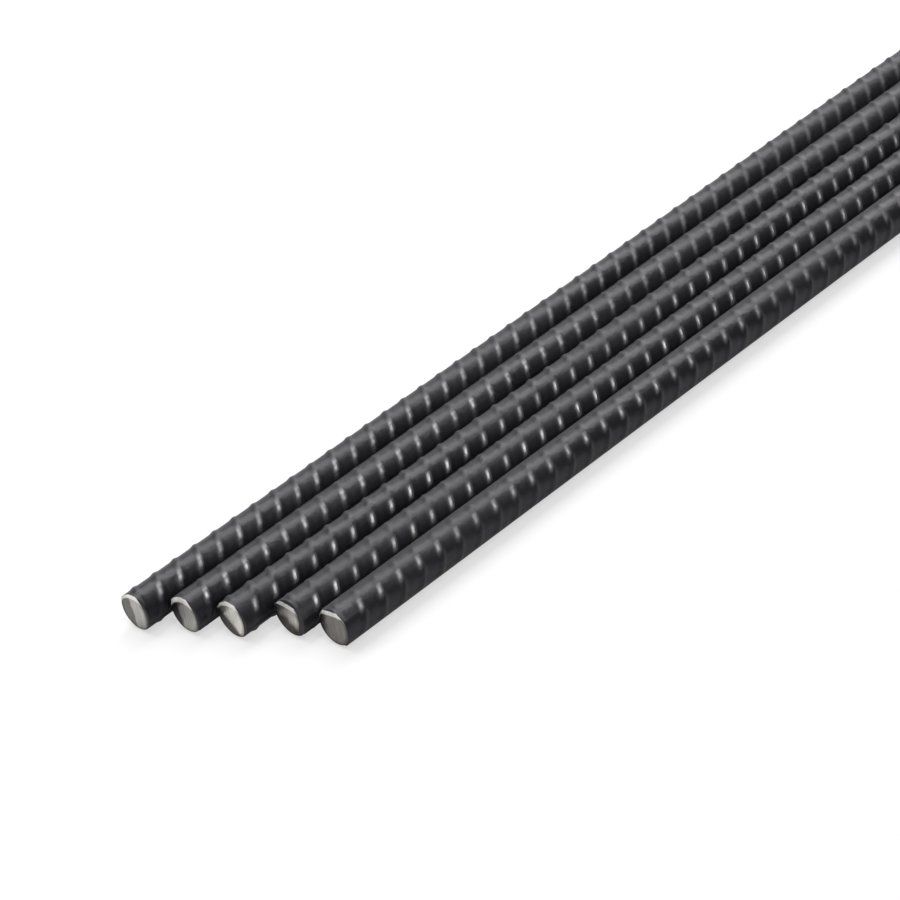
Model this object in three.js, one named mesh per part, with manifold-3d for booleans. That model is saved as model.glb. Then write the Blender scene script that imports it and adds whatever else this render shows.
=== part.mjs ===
// A loose bundle of steel reinforcing bars of one size, lying side by side on a level floor.
// Millimetres and degrees. +X runs along the bars, away from their sheared ends, and +Z is up.
// The origin is at the centre of the bundle's footprint, on the floor.
// Each bar is drawn at the diameter over its ribs, which is what touches the floor and its neighbours.

import * as THREE from 'three';
import { mergeVertices } from 'three/addons/utils/BufferGeometryUtils.js';
import Module from 'manifold-3d';

const wasm = await Module();
wasm.setup();

// The bar
const barLength = 610;
const rootDiameter = 12.45;
const ribHeight = 0.5;

// How far back the shear blade rolls the edge over where it enters the bar
const rolloverRun = 1.0;

// The rounded rim round a sheared face
const rimInset = 0.4;
const rimLength = 0.3;

// The far ends, sawn square, with the saw burr taken off
const sawnBevel = 0.6;

// The bars from the far side (+Y) to the near side (-Y). Of each bar:
//   setback   its sheared end, measured back from the first bar's
//   gap       clear space to the bar before it
//   bladeFrom which way round the bar the blade came from, from straight up towards -Y
//   bite      how deep the rolled-over edge reaches below the body's surface
//   edgeRadius  how curved the rolled-over edge's line is on the face
//   lean      how far the sheared face leans back from square, away from the blade
//   tearFrom  which way round the bar the metal tore away, from straight up towards -Y
//   tearWidth how far in from the body's surface the torn part reaches
//   tearTilt  how far the torn part leans from the rest of the face
const bars = [
  {
    name: 'bar_1', setback: 0, gap: 0, lean: 0.5,
    bladeFrom: 2, bite: 2.0, edgeRadius: 7, tearFrom: -93, tearWidth: 5.0, tearTilt: 2,
  },
  {
    name: 'bar_2', setback: 7.5, gap: 0.35, lean: 1.0,
    bladeFrom: -4, bite: 2.2, edgeRadius: 7, tearFrom: -95, tearWidth: 4.0, tearTilt: 3,
  },
  {
    name: 'bar_3', setback: 13.7, gap: 0.45, lean: 1.0,
    bladeFrom: -4, bite: 1.8, edgeRadius: 8, tearFrom: -138, tearWidth: 3.9, tearTilt: 3,
  },
  {
    name: 'bar_4', setback: 23.6, gap: 0.95, lean: 1.0,
    bladeFrom: 8, bite: 3.4, edgeRadius: 30, tearFrom: -155, tearWidth: 4.8, tearTilt: 3,
  },
  {
    name: 'bar_5', setback: 27.8, gap: 0.95, lean: 1.0,
    bladeFrom: -7, bite: 2.7, edgeRadius: 40, tearFrom: -80, tearWidth: 1.8, tearTilt: 3,
  },
];

// How finely the round forms are faceted
const flatsRoundBar = 48;
const stepsInArc = 6;

// Sizes that follow from those above
const barDiameter = rootDiameter + 2 * ribHeight;
const barRadius = barDiameter / 2;
const rootRadius = rootDiameter / 2;
const axisHeight = barRadius * Math.cos(Math.PI / flatsRoundBar);
const cutterSize = 4 * barDiameter;
const longestSetback = Math.max(...bars.map((bar) => bar.setback));

const steel = new THREE.MeshStandardMaterial({ color: 0x2c2c2f, roughness: 0.42, metalness: 0.85 });

// Turns a closed three.js geometry into a manifold-3d solid.
function solidOf(geometry) {
  const shell = new THREE.BufferGeometry();
  shell.setAttribute('position', geometry.getAttribute('position'));
  shell.setIndex(geometry.getIndex());
  const merged = mergeVertices(shell, 1e-4);
  const corners = merged.getIndex().array;
  const kept = [];
  for (let i = 0; i < corners.length; i += 3) {
    const [a, b, c] = [corners[i], corners[i + 1], corners[i + 2]];
    if (a !== b && b !== c && c !== a) kept.push(a, b, c);
  }
  return new wasm.Manifold(new wasm.Mesh({
    numProp: 3,
    vertProperties: new Float32Array(merged.getAttribute('position').array),
    triVerts: new Uint32Array(kept),
  }));
}

// Turns a manifold-3d solid back into a three.js geometry.
function geometryOf(solid) {
  const mesh = solid.getMesh();
  const geometry = new THREE.BufferGeometry();
  geometry.setAttribute('position', new THREE.BufferAttribute(new Float32Array(mesh.vertProperties), 3));
  geometry.setIndex(new THREE.BufferAttribute(new Uint32Array(mesh.triVerts), 1));
  geometry.computeVertexNormals();
  return geometry;
}

// Revolves a profile of [distance along X, radius] points about the X axis, with a flat facing down.
function turned(profile) {
  const points = profile.map(([along, radius]) => new THREE.Vector2(radius, along));
  const halfStep = Math.PI / flatsRoundBar;
  return new THREE.LatheGeometry(points, flatsRoundBar, halfStep).rotateZ(-Math.PI / 2);
}

// The round stock, from a little before x = 0 to its sawn far end.
function rod() {
  return solidOf(turned([
    [-barRadius, 0],
    [-barRadius, barRadius],
    [barLength - sawnBevel, barRadius],
    [barLength, barRadius - sawnBevel],
    [barLength, 0],
  ]));
}

// The space behind a flat disc at x = 0, whose edge rounds back over a length and an inset and then flares.
function roundedNose(discRadius, inset, length) {
  const profile = [[0, 0]];
  for (let step = 0; step <= stepsInArc; step += 1) {
    const angle = (step / stepsInArc) * (Math.PI / 2);
    profile.push([length * (1 - Math.cos(angle)), discRadius + inset * Math.sin(angle)]);
  }
  profile.push([barLength + cutterSize, barLength + cutterSize]);
  profile.push([barLength + cutterSize, 0]);
  return turned(profile);
}

// The metal missing in front of the torn part of the face.
function tearCutter(tearWidth, tearTilt) {
  const block = new THREE.BoxGeometry(cutterSize, cutterSize, cutterSize);
  block.translate(-cutterSize / 2, 0, cutterSize / 2);
  return block.rotateY(THREE.MathUtils.degToRad(tearTilt)).translate(0, 0, rootRadius - tearWidth);
}

// One bar along +X from x = 0, with its sheared end there.
function barGeometry({ lean, bladeFrom, bite, edgeRadius, tearFrom, tearWidth, tearTilt }) {
  const facing = (geometry, from) => solidOf(geometry.rotateX(THREE.MathUtils.degToRad(from)));
  const rim = roundedNose(rootRadius - rimInset, rimInset + ribHeight, rimLength);
  const rollover = roundedNose(edgeRadius, bite + ribHeight, rolloverRun);
  const sheared = rod()
    .intersect(facing(rim.rotateY(-THREE.MathUtils.degToRad(lean)), bladeFrom))
    .intersect(facing(rollover.translate(0, 0, rootRadius - bite - edgeRadius), bladeFrom))
    .subtract(facing(tearCutter(tearWidth, tearTilt), tearFrom));
  return geometryOf(sheared);
}

const bundle = new THREE.Group();
const laid = new THREE.Group();
bundle.add(laid);

let across = 0;
for (const bar of bars) {
  across += bar.gap + barRadius;
  const mesh = new THREE.Mesh(barGeometry(bar), steel);
  mesh.name = bar.name;
  mesh.position.set(bar.setback, -across, axisHeight);
  laid.add(mesh);
  across += barRadius;
}
laid.position.set(-(barLength + longestSetback) / 2, across / 2, 0);

export default bundle;
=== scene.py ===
"""Dresses a loose bundle of five reinforcing bars: ribbed, mill-scaled steel with bare sheared ends.

Everything is in metres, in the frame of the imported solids: +X along the bars, +Z up.
Angles round a bar are measured about its axis from straight up towards -Y, in radians.
"""

import math

import bpy
from mathutils import Matrix, Vector


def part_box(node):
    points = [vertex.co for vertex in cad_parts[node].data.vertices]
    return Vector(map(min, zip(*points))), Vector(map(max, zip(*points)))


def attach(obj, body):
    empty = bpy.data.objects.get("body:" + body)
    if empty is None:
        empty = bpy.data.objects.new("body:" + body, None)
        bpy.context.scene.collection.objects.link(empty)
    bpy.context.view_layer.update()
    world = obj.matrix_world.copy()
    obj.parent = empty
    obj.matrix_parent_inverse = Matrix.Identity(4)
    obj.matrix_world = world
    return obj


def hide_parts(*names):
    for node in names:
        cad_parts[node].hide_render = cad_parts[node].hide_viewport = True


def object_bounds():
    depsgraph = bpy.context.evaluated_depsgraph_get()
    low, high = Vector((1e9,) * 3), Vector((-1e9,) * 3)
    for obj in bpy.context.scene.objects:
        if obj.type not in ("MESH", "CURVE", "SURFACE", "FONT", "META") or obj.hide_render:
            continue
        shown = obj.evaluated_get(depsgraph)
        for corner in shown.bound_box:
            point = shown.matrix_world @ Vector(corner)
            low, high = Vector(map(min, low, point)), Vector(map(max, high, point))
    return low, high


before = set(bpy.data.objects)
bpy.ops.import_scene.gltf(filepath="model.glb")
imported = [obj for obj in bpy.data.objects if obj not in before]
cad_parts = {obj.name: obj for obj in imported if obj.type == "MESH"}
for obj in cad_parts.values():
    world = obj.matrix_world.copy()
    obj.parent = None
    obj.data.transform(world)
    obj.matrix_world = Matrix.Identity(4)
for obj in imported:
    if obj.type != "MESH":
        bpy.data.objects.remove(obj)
cad_low, cad_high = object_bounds()

MM = 0.001
DEG = math.pi / 180

# The rolled bar
RIB_HEIGHT = 0.5 * MM
RIB_PITCH = 8.3 * MM
RIB_CREST = 0.27 * MM               # half the width of a rib's top
RIB_BASE = 1.8 * MM                 # half the width of its foot
RIB_RUNOUT = (5 * DEG, 38 * DEG)    # from the seam: where a rib begins and where it is at its full height
RIB_UNEVENNESS = 0.14               # the share of its height that comes and goes
RIB_CHANGES_ALONG = 60.0            # how often it comes and goes in a metre along the bar
RIB_CHANGES_ROUND = 0.8             # and in a radian round it
RIB_CLEAR_OF_CUT = (0.5 * MM, 2.5 * MM)
SEAM_HEIGHT = 0.32 * MM
SEAM_CREST = 0.20 * MM
SEAM_BASE = 1.00 * MM

# Where the ribs are rubbed bright, which also paints their highlight: past the crest, along the bar, and
# round it as cosines from the middle
RUB_HIGHLIGHT_PAST_CREST = (0.1 * MM, 0.7 * MM)
RUB_HIGHLIGHT_FADES = (110 * MM, 290 * MM)
RUB_HIGHLIGHT_ARC = (0.945, 0.997)

# The sheared ends, and the far ones, sawn square
RIM_INSET = 0.4 * MM
RIM_LENGTH = 0.3 * MM
ROLLOVER_RUN = 1.0 * MM
BLADE_EDGE_ROUNDING = 0.35 * MM
TEAR_EDGE_ROUNDING = 0.25 * MM
SCALE_OVER_RIM = 0.15 * MM
SMEAR_CURVE = 8.0 * MM
SAWN_BEVEL = 0.6 * MM
SAWN_TONE = 0.45

# How finely the bar's mesh is divided
COLUMNS = 56
FACE_RINGS = 26
ROWS_IN_RIB = 16
FLANK_SHARE = 6 / 8                 # of the rows in half a rib's pitch, those on its flank
ROWS_IN_END = 40
FAN_OUT = 1.3                       # how the end's rows gather towards its face
SEAM_CROWDING = 0.35
PLAIN_AT_ENDS = 3 * MM              # the least length at both ends whose rows don't follow the ribs
WITHIN_FACE = 0.9999                # of the cylinder's radius, up to which a point is on an end face

# Each bar's own numbers, from the far side (+Y) to the near side (-Y), in millimetres and degrees:
#   first_rib             from the sheared face to the first rib, half-way between the seams
#   slant, seam           the ribs' slant from the bar's axis, and where the upper seam runs
#   rub_highlight, rub_with_highlight   where round the bar the ribs are rubbed bright, with a painted highlight there, and how much
#   rub_with_highlight_far   what share of that rubbing and its painted highlight is left further along the bar
#   blade_from, bite      where the shear blade came from, and how deep the rolled-over edge reaches
#   edge_radius           how curved the rolled-over edge's line is on the face
#   bared, blade_gloss_and_highlight_from   how far up the rolled-over edge the bare steel reaches, and where it turns bright, burnished and with a painted highlight
#   lean                  how far the sheared face leans back from square, away from the blade
#   tear_from, _width, _tilt   where the metal tore away, how far in, and how far it leans from the face
#   smear_from, smear     from which side the mill scale is drawn over the face, and how far in from the rim
#   tone, fracture_and_shade   how bright the bare steel is, and the torn part's share of it, which is partly painted shade
#   fracture_and_shade_over, fracture_and_shade_fade   how far past the tear's line its dullness and painted shade reach, and how gently they fade
#   scuff                 how scuffed the mill scale is over the rolled-over edge
BARS = {
    "bar_1": dict(
        first_rib=9.0, slant=65, seam=-62, rub_highlight=34, rub_with_highlight=0.90, rub_with_highlight_far=0.35,
        blade_from=2, bite=2.0, edge_radius=7, bared=2.1, blade_gloss_and_highlight_from=0.3, lean=0.5,
        tear_from=-93, tear_width=5.0, tear_tilt=2, smear_from=78, smear=1.3,
        tone=0.46, fracture_and_shade=0.36, fracture_and_shade_over=0.0, fracture_and_shade_fade=0.5, scuff=0.0,
    ),
    "bar_2": dict(
        first_rib=7.4, slant=70, seam=-56, rub_highlight=32, rub_with_highlight=1.00, rub_with_highlight_far=0.35,
        blade_from=-4, bite=2.2, edge_radius=7, bared=2.2, blade_gloss_and_highlight_from=0.0, lean=1.0,
        tear_from=-95, tear_width=4.0, tear_tilt=3, smear_from=78, smear=1.2,
        tone=0.50, fracture_and_shade=0.18, fracture_and_shade_over=0.0, fracture_and_shade_fade=0.7, scuff=0.1,
    ),
    "bar_3": dict(
        first_rib=8.2, slant=64, seam=-68, rub_highlight=50, rub_with_highlight=0.84, rub_with_highlight_far=1.15,
        blade_from=-4, bite=1.8, edge_radius=8, bared=1.6, blade_gloss_and_highlight_from=0.0, lean=1.0,
        tear_from=-138, tear_width=3.9, tear_tilt=3, smear_from=84, smear=1.3,
        tone=0.95, fracture_and_shade=0.14, fracture_and_shade_over=0.8, fracture_and_shade_fade=1.3, scuff=0.1,
    ),
    "bar_4": dict(
        first_rib=8.9, slant=66, seam=-59, rub_highlight=51, rub_with_highlight=1.00, rub_with_highlight_far=0.95,
        blade_from=8, bite=3.4, edge_radius=30, bared=2.2, blade_gloss_and_highlight_from=0.5, lean=1.0,
        tear_from=-155, tear_width=4.8, tear_tilt=3, smear_from=95, smear=2.3,
        tone=0.74, fracture_and_shade=0.11, fracture_and_shade_over=0.5, fracture_and_shade_fade=2.0, scuff=0.8,
    ),
    "bar_5": dict(
        first_rib=8.4, slant=71, seam=-38, rub_highlight=36, rub_with_highlight=0.73, rub_with_highlight_far=0.52,
        blade_from=-7, bite=2.7, edge_radius=40, bared=2.0, blade_gloss_and_highlight_from=0.4, lean=1.0,
        tear_from=-80, tear_width=1.8, tear_tilt=3, smear_from=100, smear=0.6,
        tone=0.23, fracture_and_shade=0.25, fracture_and_shade_over=0.7, fracture_and_shade_fade=1.2, scuff=0.7,
    ),
}

# The finishes' colours
SCALE_DARK = (0.0056, 0.0053, 0.0076, 1)
SCALE_PALE = (0.0086, 0.0082, 0.0112, 1)
SCALE_GLOSS = (0.96, 0.95, 1.0, 1)
# The rubbed steel is wear on the ribs and also paints their highlight
RUB_HIGHLIGHT_STEEL = (0.19, 0.186, 0.192, 1)
DULL_STEEL = (1.0, 0.89, 0.78, 1)
BRIGHT_STEEL = (1.0, 0.97, 0.90, 1)
# The burnished steel is the blade's burnish and also a painted highlight on the sheared edge
BLADE_GLOSS_AND_HIGHLIGHT_STEEL = (1.0, 0.975, 0.94, 1)
BLADE_GLOSS_AND_HIGHLIGHT = 0.95                    # how bright burnished steel is, which is the most that bare steel may be
WHITE = (1, 1, 1, 1)

# Where the finishes meet: distances inside the bare steel, past the blade's edge and across the tear's line
CUT_EDGE = (-0.10 * MM, 0.12 * MM)
CUT_EDGE_WANDERS = 0.5 * MM
# The bare steel is darker near the face's rim: painted shade
PAINTED_SHADE_NEAR_CUT_EDGE = (0.0, 1.4 * MM)
TEAR_WANDERS = 3.0 * MM
BLADE_GLOSS_AND_HIGHLIGHT_BEGINS = (-0.1 * MM, 0.5 * MM)
SCUFFS_BEGIN = (0.0, 0.4 * MM)
SCUFFS_END = (1.6 * MM, 3.0 * MM)
BUMP_DEPTH = 0.10 * MM

# The finishes' patterns: how many features there are in a metre, in how many octaves, and their stretch
EVEN = (1.0, 1.0, 1.0)
PATTERNS = {
    "cut's ragged edge": (600.0, 3.0, EVEN),
    "patches": (55.0, 3.0, (0.35, 1.0, 1.0)),
    "fine grain": (1500.0, 2.0, EVEN),
    "coarse grain": (650.0, 2.0, (0.7, 1.0, 1.0)),
    "pits": (2600.0, 2.0, EVEN),
    "rub highlight": (260.0, 2.0, EVEN),
    "scuffs": (420.0, 3.0, (0.5, 1.0, 1.0)),
    "shear strokes": (700.0, 3.0, (1.0, 2.2, 0.35)),
    "tear's wandering edge": (250.0, 3.0, EVEN),
    "blade_gloss_and_highlighting": (330.0, 2.0, EVEN),
}

# The camera
CAMERA_TARGET = Vector((cad_low.x + 113.0 * MM, 5.05 * MM, 6.7 * MM))
CAMERA_DISTANCE = 1126.7 * MM
CAMERA_AZIMUTH = 48.72 * DEG
CAMERA_ELEVATION = 34.08 * DEG
CAMERA_ROLL = -9.57 * DEG
CAMERA_CLIP = (0.05, 50.0)
FRAME_PIXELS = 900
FOCAL_PIXELS = 3635.9
SENSOR = 36.0

# The floor and the room: their brightness, and from where to where the floor turns into the backdrop. The
# floor lights the bars, and shows in their gloss beside them except behind, darker than the camera sees it:
# painted shade.
FLOOR_REACH = 3.0
FLOOR_WHITE = 0.65
FLOOR_BOUNCE = 0.48
FLOOR_ENDS = (0.45, 1.1)
FLOOR_ENDS_BEHIND = (0.03, 0.08)
BACKDROP_IN_FLOOR = 0.6
BACKDROP_IN_GLOSS = 0.1
ROOM = 0.10

# The white backdrop behind the bars: how far along X and Y it lies, and where it begins and ends upwards
BACKDROP_ALONG, BACKDROP_ACROSS = 0.5, 0.85
BACKDROP_BEGINS = (0.15, 0.6)
BACKDROP_TOP = (0.3, 0.7)

# The lamps: the direction from the sheared ends to each, its length, which is level and runs along X as far
# as it can, its breadth, and how bright it is
LAMPS_AIM = Vector((cad_low.x + 120 * MM, 0, 0))
LAMP_DISTANCE = 3.0
LAMPS = {
    "overhead": dict(toward=(0.25, 0.35, 0.90), size=(4.2, 2.2), radiance=5.2),
    "key": dict(toward=(-0.05, -0.50, 0.85), size=(0.9, 2.0), radiance=8.0),
    "end": dict(toward=(0.86, 0.31, 0.37), size=(1.1, 1.15), radiance=3.9),
    "edge": dict(toward=(-0.66, 0.64, 0.30), size=(1.0, 1.2), radiance=6.0),
}


# ---------------------------------------------------------------- node maths

class Wire:
    """A node's output. Python's operators on it add Math nodes."""

    def __init__(self, graph, socket):
        self.graph = graph
        self.socket = socket

    def __add__(self, other):
        return self.graph.math("ADD", self, other)

    def __sub__(self, other):
        return self.graph.math("SUBTRACT", self, other)

    def __mul__(self, other):
        return self.graph.math("MULTIPLY", self, other)

    def __truediv__(self, other):
        return self.graph.math("DIVIDE", self, other)

    def __radd__(self, other):
        return self.graph.math("ADD", other, self)

    def __rsub__(self, other):
        return self.graph.math("SUBTRACT", other, self)

    def __rmul__(self, other):
        return self.graph.math("MULTIPLY", other, self)

    def __rtruediv__(self, other):
        return self.graph.math("DIVIDE", other, self)

    def __pow__(self, other):
        return self.graph.math("POWER", self, other)

    def __neg__(self):
        return self.graph.math("MULTIPLY", self, -1.0)

    def __abs__(self):
        return self.graph.math("ABSOLUTE", self)


class Graph:
    """A node tree, with one method that adds any node and a few that name what is used often."""

    def __init__(self, tree):
        self.tree = tree

    def node(self, kind, settings=None, inputs=None):
        """Adds a node: settings are set first, then inputs, by name or number, to values or Wires."""
        node = self.tree.nodes.new(kind)
        for name, value in (settings or {}).items():
            setattr(node, name, value)
        for name, value in (inputs or {}).items():
            socket = node.inputs[name]
            if isinstance(value, Wire):
                self.tree.links.new(value.socket, socket)
            else:
                socket.default_value = value
        return node

    def wire(self, kind, settings=None, inputs=None, output=0):
        return Wire(self, self.node(kind, settings, inputs).outputs[output])

    def math(self, operation, *values):
        return self.wire("ShaderNodeMath", {"operation": operation}, dict(enumerate(values)))

    def smallest(self, a, b):
        return self.math("MINIMUM", a, b)

    def largest(self, a, b):
        return self.math("MAXIMUM", a, b)

    def rounded_largest(self, a, b, distance):
        return self.math("SMOOTH_MAX", a, b, distance)

    def clamp(self, value):
        return self.wire("ShaderNodeClamp", None, {"Value": value})

    def rise(self, value, start, end):
        """0 below start, 1 above end, and a smooth step between."""
        settings = {"interpolation_type": "SMOOTHSTEP"}
        return self.wire("ShaderNodeMapRange", settings, {"Value": value, 1: start, 2: end, 3: 0.0, 4: 1.0})

    def split(self, vector):
        """The three numbers of a vector."""
        parts = self.node("ShaderNodeSeparateXYZ", None, {0: vector})
        return (Wire(self, output) for output in parts.outputs)


def blank_nodes(owner):
    """The emptied node tree of a material or a world."""
    owner.use_nodes = True
    owner.node_tree.nodes.clear()
    return Graph(owner.node_tree)


def put(name, data):
    """Adds an object to the scene."""
    thing = bpy.data.objects.new(name, data)
    bpy.context.scene.collection.objects.link(thing)
    return thing


# ---------------------------------------------------------------- the ribbed bar

# The tree's inputs: where the bar lies and how it is rolled, and each bar's own numbers with their units
LAID_INPUTS = (
    "Near Face X", "Far Face X", "Axis Y", "Axis Z", "Root Radius", "Rib Height", "Rib Pitch",
    "First Rib X", "Rib Climb", "Plain Start X", "Whole Ribs", "Seed",
)
OWN_INPUTS = {
    "Seam Angle": ("seam", DEG),
    "Rub Highlight Angle": ("rub_highlight", DEG),
    "Rub With Highlight": ("rub_with_highlight", 1),
    "Rub With Highlight Far": ("rub_with_highlight_far", 1),
    "Blade From": ("blade_from", DEG),
    "Bite": ("bite", MM),
    "Edge Radius": ("edge_radius", MM),
    "Bared": ("bared", MM),
    "Blade Gloss And Highlight From": ("blade_gloss_and_highlight_from", MM),
    "Lean": ("lean", DEG),
    "Tear From": ("tear_from", DEG),
    "Tear Width": ("tear_width", MM),
    "Tear Tilt": ("tear_tilt", DEG),
    "Smear From": ("smear_from", DEG),
    "Smear": ("smear", MM),
    "Cut Tone": ("tone", 1),
    "Fracture And Shade Tone": ("fracture_and_shade", 1),
    "Fracture And Shade Over": ("fracture_and_shade_over", MM),
    "Fracture And Shade Fade": ("fracture_and_shade_fade", MM),
    "Scuff": ("scuff", 1),
}


def ribbed_bar_tree():
    """A cylinder whose rows and columns are laid along the ribs, then pushed out to the bar's relief."""
    tree = bpy.data.node_groups.new("ribbed_bar", "GeometryNodeTree")
    tree.interface.new_socket("Geometry", in_out="OUTPUT", socket_type="NodeSocketGeometry")
    kinds = {name: "NodeSocketFloat" for name in (*LAID_INPUTS, *OWN_INPUTS)}
    kinds |= {"Side Rows": "NodeSocketInt", "Steel": "NodeSocketMaterial"}
    for name, kind in kinds.items():
        tree.interface.new_socket(name, in_out="INPUT", socket_type=kind)
    g = Graph(tree)
    entry = g.node("NodeGroupInput")
    size = {name: Wire(g, entry.outputs[name]) for name in kinds}

    stock = g.wire("GeometryNodeMeshCylinder", {"fill_type": "TRIANGLE_FAN"}, {
        "Vertices": COLUMNS, "Side Segments": size["Side Rows"], "Fill Segments": FACE_RINGS,
        "Radius": 1.0, "Depth": 1.0,
    })
    across, up, depth = g.split(g.wire("GeometryNodeInputPosition"))
    inward = g.math("SQRT", across * across + up * up)
    rows = size["Side Rows"]
    row = g.math("ROUND", (depth + 0.5) * rows)

    # Round the bar: columns crowd towards the two seams
    column = g.math("ARCTAN2", up, across)
    from_seam = column - g.math("SINE", column * 2.0) * (SEAM_CROWDING / 2)
    angle = from_seam + size["Seam Angle"]
    climb = (math.pi / 2 - abs(from_seam)) * size["Rib Climb"]
    to_seam = math.pi / 2 - abs(abs(from_seam) - math.pi / 2)

    def facing(toward):
        """The cosine of the angle round the bar between a point and a direction."""
        return g.math("COSINE", angle - toward)

    def relief(x):
        """How far the surface stands off the root at x, the rib's share of it, and x from the rib's crest."""
        ribs_along = (x - climb - size["First Rib X"]) / size["Rib Pitch"]
        off_centre = (ribs_along - g.math("ROUND", ribs_along)) * size["Rib Pitch"]
        on_bar = g.wire("ShaderNodeCombineXYZ", None, {
            0: x * RIB_CHANGES_ALONG, 1: from_seam * RIB_CHANGES_ROUND,
        })
        unevenness = g.wire("ShaderNodeTexNoise", {"noise_dimensions": "4D"}, {
            "Vector": on_bar, "W": size["Seed"], "Scale": 1.0, "Detail": 1.0,
        })
        least = 1.0 - RIB_UNEVENNESS
        runout = g.rise(to_seam, *RIB_RUNOUT) * (least + RIB_UNEVENNESS * g.rise(unevenness, 0.3, 0.6))
        runout = runout * g.rise(x - size["Near Face X"], *RIB_CLEAR_OF_CUT)
        rib = g.clamp((RIB_BASE - abs(off_centre)) / (RIB_BASE - RIB_CREST)) * runout
        seam_off = to_seam * size["Root Radius"]
        seam = (1.0 - g.rise(seam_off, SEAM_CREST, SEAM_BASE)) * SEAM_HEIGHT
        return g.largest(rib * size["Rib Height"], seam), rib, off_centre

    def from_centre(radius, toward, shift):
        """The distance from a centre that is shifted from the bar's axis, away from an angle."""
        off = radius * facing(toward) + shift
        beside = radius * g.math("SINE", angle - toward)
        return g.math("SQRT", off * off + beside * beside)

    def end_face(radius, edge):
        """x of the sheared face at a radius, where edge is the bar's own radius at that angle, and how far
        the point is past the blade's edge, inside the torn part and round the rim."""
        sheared = -(radius * facing(size["Blade From"])) * g.math("TANGENT", size["Lean"])
        into_tear = radius * facing(size["Tear From"]) - size["Root Radius"] + size["Tear Width"]
        broken = sheared + into_tear * g.math("TANGENT", size["Tear Tilt"])
        edge_centre = size["Edge Radius"] + size["Bite"] - size["Root Radius"]
        past_edge = from_centre(radius, size["Blade From"], edge_centre) - size["Edge Radius"]
        over = g.clamp(past_edge / (size["Bite"] + size["Rib Height"]))
        rolled = (1.0 - g.math("SQRT", 1.0 - over * over)) * ROLLOVER_RUN
        rounding = g.clamp(1.0 - (edge - radius) / RIM_INSET)
        rim = (1.0 - g.math("SQRT", 1.0 - rounding * rounding)) * RIM_LENGTH
        face = g.rounded_largest(sheared, broken, TEAR_EDGE_ROUNDING) + rim
        face = g.rounded_largest(face, rolled, BLADE_EDGE_ROUNDING)
        return size["Near Face X"] + face, past_edge, into_tear, rounding

    # The near face and the far one
    share = g.math("SINE", inward * (math.pi / 2))
    on_face = g.math("LESS_THAN", inward, WITHIN_FACE)
    edge_x = end_face(size["Root Radius"], size["Root Radius"])[0]
    edge = size["Root Radius"] + relief(edge_x)[0]
    near_x, past_edge, into_tear, rounding = end_face(share * edge, edge)
    bevel = g.clamp(1.0 - (1.0 - share) * size["Root Radius"] / SAWN_BEVEL)
    far_x = size["Far Face X"] - bevel * SAWN_BEVEL

    # Along the bar: rows follow the ribs, and fan out to meet both faces
    ribs_in = (row - ROWS_IN_END) / ROWS_IN_RIB
    inside = g.smallest(g.largest(ribs_in, 0.0), size["Whole Ribs"])
    whole = g.smallest(g.math("FLOOR", inside), size["Whole Ribs"] - 1.0)
    half = (inside - whole) * 2.0 - 1.0
    flank = g.clamp(abs(half) / FLANK_SHARE) * RIB_BASE
    valley = g.clamp((abs(half) - FLANK_SHARE) / (1 - FLANK_SHARE)) * (size["Rib Pitch"] / 2.0 - RIB_BASE)
    rib_x = (whole + 0.5) * size["Rib Pitch"] + g.math("SIGN", half) * (flank + valley)
    ribbed_x = size["Plain Start X"] + rib_x + climb
    into_near = g.clamp(row / ROWS_IN_END)
    into_far = g.clamp((rows - row) / ROWS_IN_END)
    near_side = near_x + (ribbed_x - near_x) * into_near ** FAN_OUT
    x = far_x + (near_side - far_x) * into_far ** FAN_OUT

    on_near_face = on_face * g.math("LESS_THAN", row, 0.5)
    height, rib, past_crest = relief(x + (edge_x - x) * on_near_face)
    radius = (size["Root Radius"] + height) * share
    finished = g.wire("ShaderNodeCombineXYZ", None, {
        0: x,
        1: size["Axis Y"] - radius * g.math("SINE", angle),
        2: size["Axis Z"] + radius * g.math("COSINE", angle),
    })

    # How far a point is inside the bare part of a cut face: at the sheared end, clear of the mill scale that
    # is drawn over it and not too far up the rolled-over edge
    on_near_end = g.math("LESS_THAN", x, size["Near Face X"] + size["Root Radius"])
    on_far_end = 1.0 - on_near_end
    smear_centre = size["Smear"] + SMEAR_CURVE - size["Root Radius"]
    clear_of_smear = SMEAR_CURVE - from_centre(share * edge, size["Smear From"], smear_centre)
    face_depth = (1.0 - share) * size["Root Radius"] - SCALE_OVER_RIM
    side_depth = g.smallest(x - near_x, far_x - x) * (1.0 - on_face)
    bared = g.smallest(g.smallest(face_depth, clear_of_smear), size["Bared"] - past_edge)

    # How burnished it is by the blade, over the edge and on the rim beside it, which also paints the
    # highlight there
    over_edge = g.rise(past_edge - size["Blade Gloss And Highlight From"], *BLADE_GLOSS_AND_HIGHLIGHT_BEGINS)
    on_rim = g.rise(rounding, 0.1, 0.5) * g.rise(facing(size["Blade From"]), 0.2, 0.6)

    # How rubbed a rib is on its side towards the sheared end, which also paints the highlight on that flank
    rub_with_highlight = g.rise(rib, 0.05, 0.5) * (1.0 - g.rise(past_crest, *RUB_HIGHLIGHT_PAST_CREST)) * size["Rub With Highlight"]
    along_bar = g.rise(x - size["Near Face X"], *RUB_HIGHLIGHT_FADES)
    rub_with_highlight = rub_with_highlight * (1.0 + (size["Rub With Highlight Far"] - 1.0) * along_bar)
    rub_with_highlight = rub_with_highlight * g.rise(facing(size["Rub Highlight Angle"]), *RUB_HIGHLIGHT_ARC)

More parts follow.
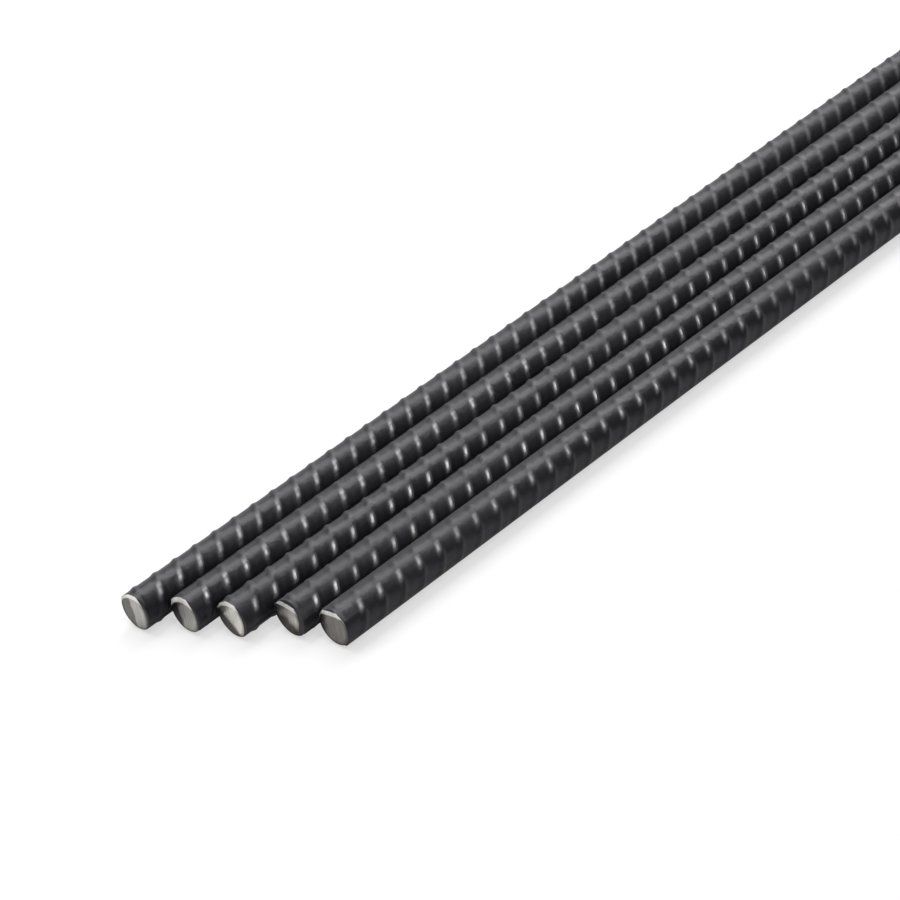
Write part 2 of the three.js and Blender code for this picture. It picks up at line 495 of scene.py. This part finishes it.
    # What the finish needs to know at each point. The tear's mark is kept off the far end by four radii.
    marks = {
        "cut_depth": bared * on_near_end + face_depth * on_far_end - side_depth,
        "past_edge": past_edge,
        "tear_depth": into_tear + size["Fracture And Shade Over"] - on_far_end * size["Root Radius"] * 4.0,
        "blade_gloss_and_highlight": g.largest(over_edge, on_rim) * on_near_end,
        "rub_highlight": rub_with_highlight,
        "cut_tone": size["Cut Tone"] * on_near_end + SAWN_TONE * on_far_end,
        "fracture_and_shade_tone": size["Fracture And Shade Tone"],
        "fracture_and_shade_fade": size["Fracture And Shade Fade"],
        "scuff": size["Scuff"] * on_near_end,
    }
    stored = stock
    for name, value in marks.items():
        stored = g.wire("GeometryNodeStoreNamedAttribute", {"data_type": "FLOAT", "domain": "POINT"}, {
            "Geometry": stored, "Name": name, "Value": value,
        })
    shaped = g.wire("GeometryNodeSetPosition", None, {"Geometry": stored, "Position": finished})
    smooth = g.wire("GeometryNodeSetShadeSmooth", None, {"Geometry": shaped, "Shade Smooth": True})
    solid = g.wire("GeometryNodeRealizeInstances", None, {"Geometry": smooth})
    dressed = g.wire("GeometryNodeSetMaterial", None, {"Geometry": solid, "Material": size["Steel"]})
    g.node("NodeGroupOutput", None, {"Geometry": dressed})
    return tree


def made_by(tree, name, values):
    """Runs a Geometry Nodes tree with these inputs and returns its result as a plain mesh object."""
    holder = put(name + "_maker", bpy.data.meshes.new(name + "_maker"))
    modifier = holder.modifiers.new("made", "NODES")
    modifier.node_group = tree
    for item in tree.interface.items_tree:
        if item.in_out == "INPUT":
            modifier[item.identifier] = values[item.name]
    holder.update_tag()
    evaluated = holder.evaluated_get(bpy.context.evaluated_depsgraph_get())
    mesh = bpy.data.meshes.new_from_object(evaluated)
    mesh.name = name
    holder.modifiers.remove(modifier)
    bpy.data.objects.remove(holder)
    return put(name, mesh)


def ribbed_bar(node, own, tree, steel, seed):
    """One bar, laid where its solid lies and no larger."""
    low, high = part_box(node)
    axis = (low + high) / 2
    root = (high.z - low.z) / 2 - RIB_HEIGHT
    climb = root / math.tan(own["slant"] * DEG)
    reach = climb * math.pi / 2
    first = low.x + own["first_rib"] * MM
    plain = first - RIB_PITCH / 2
    while plain - reach < low.x + PLAIN_AT_ENDS:
        plain += RIB_PITCH
    whole_ribs = int((high.x - PLAIN_AT_ENDS - reach - plain) / RIB_PITCH)
    values = {
        "Near Face X": low.x + math.tan(own["lean"] * DEG) * root, "Far Face X": high.x,
        "Axis Y": axis.y, "Axis Z": axis.z,
        "Root Radius": root, "Rib Height": RIB_HEIGHT, "Rib Pitch": RIB_PITCH,
        "First Rib X": first, "Rib Climb": climb,
        "Plain Start X": plain, "Whole Ribs": float(whole_ribs),
        "Seed": float(seed),
        "Side Rows": 2 * ROWS_IN_END + whole_ribs * ROWS_IN_RIB, "Steel": steel,
    }
    values |= {name: float(own[key] * unit) for name, (key, unit) in OWN_INPUTS.items()}
    piece = made_by(tree, "ribbed_" + node, values)
    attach(piece, "root")
    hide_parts(node)


# ---------------------------------------------------------------- finishes

def bar_steel():
    """Near-black mill scale, satin, worn on the rib crests, which also paints their highlight, and bare grey
    steel where the bar was cut, its burnished edge partly a painted highlight and its torn part partly
    painted shade.
    """
    material = bpy.data.materials.new("mill_scale_steel")
    g = blank_nodes(material)
    where = g.wire("ShaderNodeTexCoord", output=3)

    def attribute(name):
        return g.wire("ShaderNodeAttribute", {"attribute_name": name}, output=2)

    def pattern(name):
        features, octaves, stretch = PATTERNS[name]
        placed = g.wire("ShaderNodeMapping", None, {"Vector": where, "Scale": stretch})
        return g.wire("ShaderNodeTexNoise", None, {
            "Vector": placed, "Scale": features, "Detail": octaves, "Roughness": 0.5,
        })

    def mixed(share, a, b):
        return g.wire("ShaderNodeMix", {"data_type": "RGBA"}, {0: share, 6: a, 7: b}, output=2)

    # Where the bare steel begins
    cut_depth = attribute("cut_depth")
    ragged = (pattern("cut's ragged edge") - 0.5) * CUT_EDGE_WANDERS
    cut = g.rise(cut_depth + ragged, *CUT_EDGE)

    # Mill scale: patchy, rubbed on the ribs, which also paints their highlight, and scuffed over the
    # rolled-over edge
    patches = g.rise(pattern("patches"), 0.42, 0.62)
    grain = pattern("fine grain")
    past_edge = attribute("past_edge") + ragged * 2.0
    scuffs = g.rise(past_edge, *SCUFFS_BEGIN) * (1.0 - g.rise(past_edge, *SCUFFS_END))
    scuffs = scuffs * attribute("scuff") * (0.10 + 0.20 * g.rise(pattern("scuffs"), 0.35, 0.65))
    wear_and_highlight = attribute("rub_highlight") * (0.75 + 0.25 * g.rise(pattern("rub highlight"), 0.4, 0.6))
    wear_and_highlight = g.largest(wear_and_highlight, scuffs)
    scale_colour = mixed(wear_and_highlight, mixed(patches, SCALE_DARK, SCALE_PALE), RUB_HIGHLIGHT_STEEL)
    scale_rough = 0.40 + 0.06 * patches + 0.08 * (grain - 0.5) - 0.12 * wear_and_highlight

    # Bare steel: stroked by the shear, dull where it tore, partly painted shade, and bright where the blade
    # burnished it, partly a painted highlight
    strokes = pattern("shear strokes")
    wandering = (pattern("tear's wandering edge") - 0.5) * TEAR_WANDERS
    fracture_and_shade_fade = attribute("fracture_and_shade_fade")
    # The torn part's dullness is partly the fracture's own and partly painted shade
    fracture_and_shade = g.rise(attribute("tear_depth") + wandering, -fracture_and_shade_fade, fracture_and_shade_fade)
    brightness = attribute("cut_tone") * (0.5 + 1.0 * strokes) * (1.0 + (attribute("fracture_and_shade_tone") - 1.0) * fracture_and_shade)
    # Darker towards the face's rim: painted shade
    brightness = brightness * (0.4 + 0.6 * g.rise(cut_depth, *PAINTED_SHADE_NEAR_CUT_EDGE))
    blade_gloss_and_highlight = attribute("blade_gloss_and_highlight") * (0.75 + 0.25 * g.rise(pattern("blade_gloss_and_highlighting"), 0.38, 0.58))
    brightness = g.smallest(brightness + (BLADE_GLOSS_AND_HIGHLIGHT - brightness) * blade_gloss_and_highlight, BLADE_GLOSS_AND_HIGHLIGHT)
    tint = mixed(g.rise(brightness, 0.06, 0.34), DULL_STEEL, BRIGHT_STEEL)
    tint = mixed(blade_gloss_and_highlight, tint, BLADE_GLOSS_AND_HIGHLIGHT_STEEL)
    cut_colour = g.wire("ShaderNodeVectorMath", {"operation": "SCALE"}, {0: tint, "Scale": brightness})
    cut_rough = 0.22 + 0.10 * (strokes - 0.5) + 0.10 * fracture_and_shade + 0.15 * blade_gloss_and_highlight

    pits = pattern("pits") * 0.15 + grain * 0.8 + pattern("coarse grain") * 3.0
    height = pits * (1.0 - cut) * (1.0 - 0.8 * wear_and_highlight) + strokes * 0.25 * cut
    bump = g.wire("ShaderNodeBump", None, {"Strength": 0.40, "Distance": BUMP_DEPTH, "Height": height})
    skin = g.wire("ShaderNodeBsdfPrincipled", None, {
        "Base Color": mixed(cut, scale_colour, cut_colour),
        "Roughness": scale_rough + (cut_rough - scale_rough) * cut,
        "Metallic": g.largest(cut * (1.0 - 0.75 * blade_gloss_and_highlight), wear_and_highlight),
        "Specular IOR Level": 0.385,
        "Specular Tint": SCALE_GLOSS,
        "Normal": bump,
    })
    g.node("ShaderNodeOutputMaterial", None, {"Surface": skin})
    return material


def kinds_of_ray(g):
    """1 for what the camera sees by itself, in a gloss, and through glass."""
    rays = g.node("ShaderNodeLightPath")
    return (Wire(g, rays.outputs["Is %s Ray" % kind]) for kind in ("Camera", "Glossy", "Transmission"))


def pale_floor():
    """A white floor that keeps the bars' shadow, and fades into the white backdrop away from them."""
    material = bpy.data.materials.new("pale_floor")
    g = blank_nodes(material)
    where = g.wire("ShaderNodeTexCoord", output=3)
    away = g.wire("ShaderNodeVectorMath", {"operation": "LENGTH"}, {0: where}, output=1)
    _, behind, _ = g.split(where)
    camera, glossy, transmission = kinds_of_ray(g)
    seen = g.largest(camera, transmission)
    white = FLOOR_BOUNCE + (FLOOR_WHITE - FLOOR_BOUNCE) * seen
    paint = g.wire("ShaderNodeBsdfDiffuse", None, {"Color": white})
    backdrop = g.wire("ShaderNodeEmission", None, {"Color": WHITE, "Strength": 1.0})
    far = g.rise(away, *FLOOR_ENDS)
    mirrored = g.largest(far, g.rise(behind, *FLOOR_ENDS_BEHIND))
    # Glosses see the floor beside the bars, except behind them, mostly as its darker paint: painted shade in
    # the reflections
    share = g.largest(
        (BACKDROP_IN_FLOOR + (1 - BACKDROP_IN_FLOOR) * far) * seen,
        (BACKDROP_IN_GLOSS + (1 - BACKDROP_IN_GLOSS) * mirrored) * glossy,
    )
    surface = g.wire("ShaderNodeMixShader", None, {0: share, 1: paint, 2: backdrop})
    g.node("ShaderNodeOutputMaterial", None, {"Surface": surface})
    return material


# ---------------------------------------------------------------- the studio

def set_camera():
    """Looks down along the bars from their sheared ends, with a long lens and the head a little rolled."""
    flat = math.cos(CAMERA_ELEVATION)
    forward = Vector((
        flat * math.cos(CAMERA_AZIMUTH),
        flat * math.sin(CAMERA_AZIMUTH),
        -math.sin(CAMERA_ELEVATION),
    ))
    data = bpy.data.cameras.new("camera")
    data.sensor_width = SENSOR
    data.lens = FOCAL_PIXELS / FRAME_PIXELS * SENSOR
    data.clip_start, data.clip_end = CAMERA_CLIP
    camera = put("camera", data)
    turned = forward.to_track_quat("-Z", "Y").to_matrix() @ Matrix.Rotation(CAMERA_ROLL, 3, "Z")
    camera.matrix_world = Matrix.Translation(CAMERA_TARGET - forward * CAMERA_DISTANCE) @ turned.to_4x4()
    bpy.context.scene.camera = camera


def softbox(name, toward, size, radiance):
    """A rectangular lamp that faces the sheared ends from that direction."""
    direction = Vector(toward).normalized()
    length, breadth = size
    data = bpy.data.lights.new(name, "AREA")
    data.shape = "RECTANGLE"
    data.size = length
    data.size_y = breadth
    data.energy = radiance * math.pi * length * breadth
    along = (Vector((1, 0, 0)) - direction * direction.x).normalized()
    facing = Matrix((along, direction.cross(along), direction)).transposed()
    lamp = put(name, data)
    lamp.matrix_world = Matrix.Translation(LAMPS_AIM + direction * LAMP_DISTANCE) @ facing.to_4x4()


def lay_floor():
    """The floor under the bars, which isn't part of them."""
    floor = bpy.data.meshes.new("floor")
    corners = [(-1, -1), (1, -1), (1, 1), (-1, 1)]
    floor.from_pydata([(x * FLOOR_REACH, y * FLOOR_REACH, 0) for x, y in corners], [], [(0, 1, 2, 3)])
    floor.materials.append(pale_floor())
    put("floor", floor)


def set_room():
    """A dim white room, with a white backdrop behind the bars for what mirrors it."""
    world = bpy.data.worlds.new("room")
    g = blank_nodes(world)
    along, across, above = g.split(g.wire("ShaderNodeTexCoord", output=0))
    camera, glossy, transmission = kinds_of_ray(g)
    seen = g.largest(camera, g.largest(glossy, transmission))
    behind = across * BACKDROP_ACROSS + along * BACKDROP_ALONG
    backdrop = g.rise(behind, *BACKDROP_BEGINS) * (1.0 - g.rise(above, *BACKDROP_TOP)) * seen
    strength = ROOM + (1.0 - ROOM) * g.largest(camera, backdrop)
    background = g.wire("ShaderNodeBackground", None, {"Color": WHITE, "Strength": strength})
    g.node("ShaderNodeOutputWorld", None, {"Surface": background})
    bpy.context.scene.world = world
    bpy.context.scene.view_settings.view_transform = "Standard"


set_camera()
bar_tree = ribbed_bar_tree()
steel = bar_steel()
for number, (node, own) in enumerate(BARS.items(), start=1):
    ribbed_bar(node, own, bar_tree, steel, number)
lay_floor()
for name, lamp in LAMPS.items():
    softbox(name, **lamp)
set_room()
